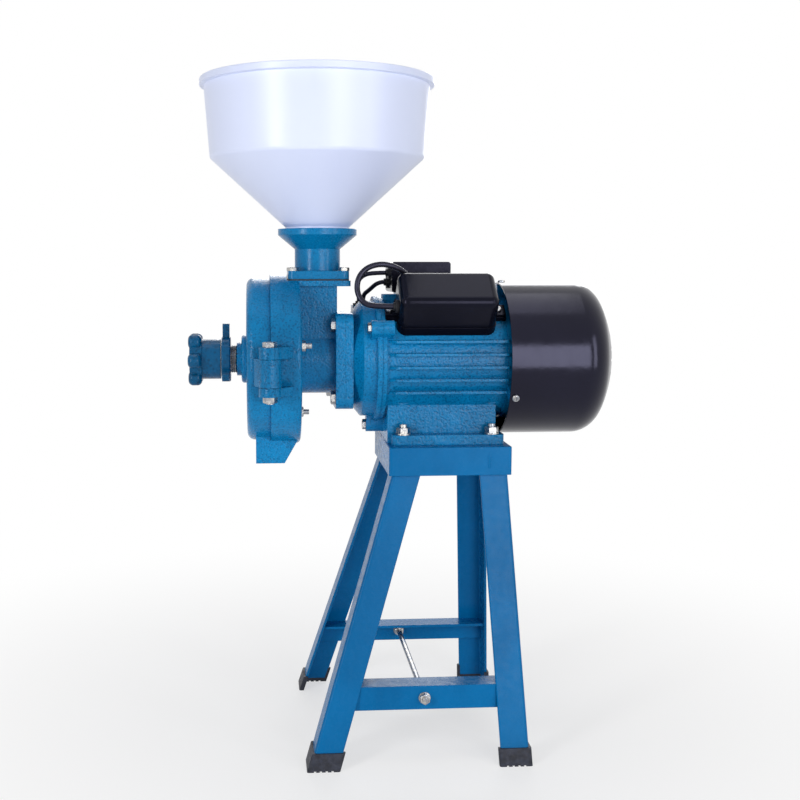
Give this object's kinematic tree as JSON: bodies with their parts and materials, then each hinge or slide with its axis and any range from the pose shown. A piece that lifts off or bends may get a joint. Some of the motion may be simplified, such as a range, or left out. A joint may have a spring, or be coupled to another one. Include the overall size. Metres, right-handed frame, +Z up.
{
  "type": "electric grain mill on a stand",
  "caption": "Electric disc mill for grain: hopper over a cast housing, finned motor with fan cover and capacitor box, on an angle iron stand with rubber feet.",
  "frame": {"origin": "on the floor, in the middle of the machine's length and width", "axes": "+X along the shaft from the adjusting knob to the fan cover, +Z up, the hinge side towards -Y"},
  "size_m": [0.4624, 0.263, 0.712],
  "materials": {
    "stand_paint": "gloss",
    "cast_paint": "hammered gloss",
    "shield_paint": "gloss",
    "adjuster_paint": "gloss",
    "adapter_paint": "gloss",
    "zinc_plate": "zinc plated",
    "black_paint": "high gloss",
    "black_plastic": "gloss",
    "rocker_plastic": "gloss",
    "foot_rubber": "matt",
    "gland_rubber": "matt",
    "lead_jacket": "semi gloss",
    "core_steel": "laminated",
    "copper": "varnished copper wire",
    "machined_steel": "turned",
    "fan_plastic": "matt",
    "capacitor_can": "satin",
    "terminal_plastic": "matt",
    "grinding_iron": "as cast",
    "gasket_fibre": "matt",
    "hopper_plastic": "translucent gloss"
  },
  "bodies": {
    "machine": {"stand_top_frame": "stand_paint", "front_left_leg": "stand_paint", "front_right_leg": "stand_paint", "rear_left_leg": "stand_paint", "rear_right_leg": "stand_paint", "front_brace": "stand_paint", "rear_brace": "stand_paint", "motor_frame": "cast_paint", "drive_end_shield": "cast_paint", "mill_body": "cast_paint", "rear_end_shield": "shield_paint", "hopper_adapter": "adapter_paint", "tie_rod": "zinc_plate", "tie_rod_nuts": "zinc_plate", "foot_bolts": "zinc_plate", "foot_nuts": "zinc_plate", "fixed_disc_bolts": "zinc_plate", "mill_flange_bolts": "zinc_plate", "adapter_bolts": "zinc_plate", "end_shield_bolts": "zinc_plate", "cover_screws": "zinc_plate", "hinge_pin": "zinc_plate", "fan_cover": "black_paint", "capacitor_cover": "black_plastic", "capacitor_saddle": "black_plastic", "switch_box": "black_plastic", "switch_box_lid": "black_plastic", "switch_body": "black_plastic", "rubber_feet": "foot_rubber", "cable_glands": "gland_rubber", "shaft_seal": "gland_rubber", "capacitor_lead": "lead_jacket", "upper_motor_lead": "lead_jacket", "lower_motor_lead": "lead_jacket", "stator_core": "core_steel", "stator_windings": "copper", "drive_end_bearing": "machined_steel", "rear_bearing": "machined_steel", "capacitors": "capacitor_can", "terminal_block": "terminal_plastic", "fixed_disc": "grinding_iron", "inlet_gasket": "gasket_fibre"},
    "rotor": {"motor_shaft": "machined_steel", "rotor_core": "core_steel", "cooling_fan": "fan_plastic", "auger": "grinding_iron", "drive_key": "machined_steel", "return_spring": "machined_steel"},
    "runner": {"runner_disc": "grinding_iron", "runner_carrier": "grinding_iron", "runner_screws": "zinc_plate"},
    "front_cover": {"front_cover": "cast_paint", "latch_bolt": "zinc_plate"},
    "thrust_ball": {"thrust_ball": "machined_steel"},
    "adjuster": {"adjusting_screw": "machined_steel", "adjusting_knob": "adjuster_paint"},
    "lock_nut": {"lock_nut": "adjuster_paint"},
    "latch_nut": {"latch_nut": "zinc_plate"},
    "hopper": {"hopper": "hopper_plastic"},
    "power_rocker": {"power_rocker": "rocker_plastic"}
  },
  "joints": [
    {"name": "shaft_spin", "type": "hinge", "parent": "machine", "child": "rotor", "pos_m": [0.04494, 0, 0.414], "axis": [1, 0, 0], "continuous": true},
    {"name": "runner_feed", "type": "slide", "parent": "rotor", "child": "runner", "axis": [1, 0, 0], "range_m": [-0.002, 0.002], "deforming": ["return_spring"]},
    {"name": "cover_hinge", "type": "hinge", "parent": "machine", "child": "front_cover", "pos_m": [-0.14406, -0.104, 0.414], "axis": [0, 0, 1], "range_deg": [0, 110]},
    {"name": "ball_feed", "type": "slide", "parent": "front_cover", "child": "thrust_ball", "axis": [1, 0, 0], "range_m": [-0.002, 0.002]},
    {"name": "adjuster_turn", "type": "hinge", "parent": "thrust_ball", "child": "adjuster", "pos_m": [-0.23116, 0, 0.414], "axis": [1, 0, 0], "range_deg": [-360, 360]},
    {"name": "lock_nut_turn", "type": "hinge", "parent": "adjuster", "child": "lock_nut", "pos_m": [-0.19546, 0, 0.414], "axis": [1, 0, 0], "range_deg": [0, 1200]},
    {"name": "latch_nut_turn", "type": "hinge", "parent": "front_cover", "child": "latch_nut", "pos_m": [-0.14406, 0.104, 0.384], "axis": [0, 0, 1], "range_deg": [0, 720]},
    {"name": "hopper_lift", "type": "slide", "parent": "machine", "child": "hopper", "axis": [0, 0, 1], "range_m": [0, 0.12]},
    {"name": "rocker_tilt", "type": "hinge", "parent": "machine", "child": "power_rocker", "pos_m": [0.02344, 0.0653, 0.50275], "axis": [0, 0, 1], "range_deg": [0, 24]}
  ],
  "couplings": [
    {"joint": "runner_feed", "follows": "adjuster_turn", "m_per_rad": 0.00031831},
    {"joint": "ball_feed", "follows": "adjuster_turn", "m_per_rad": 0.00031831}
  ]
}
